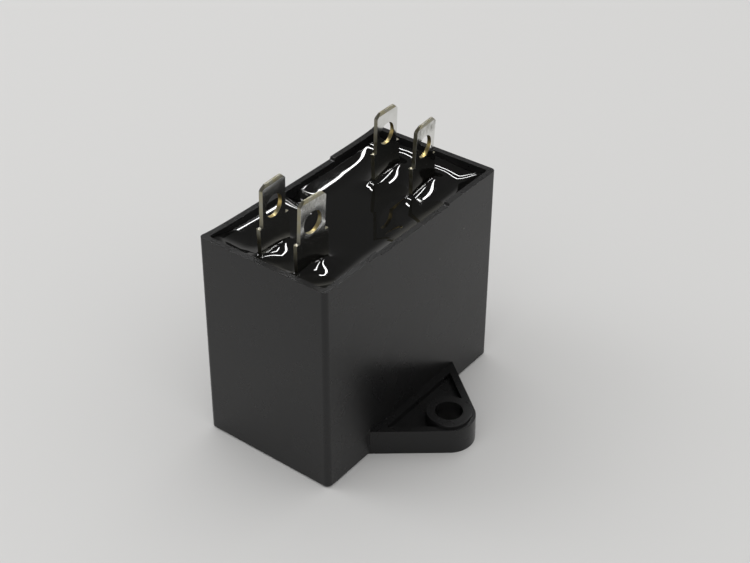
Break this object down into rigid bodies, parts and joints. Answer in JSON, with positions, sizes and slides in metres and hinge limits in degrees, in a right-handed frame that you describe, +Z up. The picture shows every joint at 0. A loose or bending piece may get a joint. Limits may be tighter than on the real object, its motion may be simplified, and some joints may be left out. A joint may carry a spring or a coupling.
{
  "type": "box film capacitor",
  "caption": "Resin-filled box film capacitor: a black moulded case with a screw ear at its base and folded double-blade push-on terminals on top.",
  "frame": {"origin": "centre of the case's base, on the face it stands on; the ear doesn't count", "axes": "+Z up through the open top and the blades, X along the case, +X towards the terminal that stands farther from its end of the case, -Y towards the mounting ear"},
  "size_m": [0.0516, 0.0427, 0.0551],
  "materials": {
    "case": "satin black moulded plastic",
    "resin": "glossy black cast resin",
    "terminal": "tin-plated brass sheet, bare at its cut edges",
    "film": "wound metallised film",
    "spray": "sprayed zinc, grainy",
    "lead": "tinned copper wire",
    "solder": "smooth solder"
  },
  "bodies": {
    "root": {"case": "case", "potting_resin": "resin", "terminal_front": "terminal", "terminal_rear": "terminal", "film_winding": "film", "end_spray_front": "spray", "end_spray_rear": "spray", "lead_front": "lead", "lead_rear": "lead", "spray_solder_front": "solder", "spray_solder_rear": "solder", "bridge_solder_front": "solder", "bridge_solder_rear": "solder"}
  },
  "joints": []
}
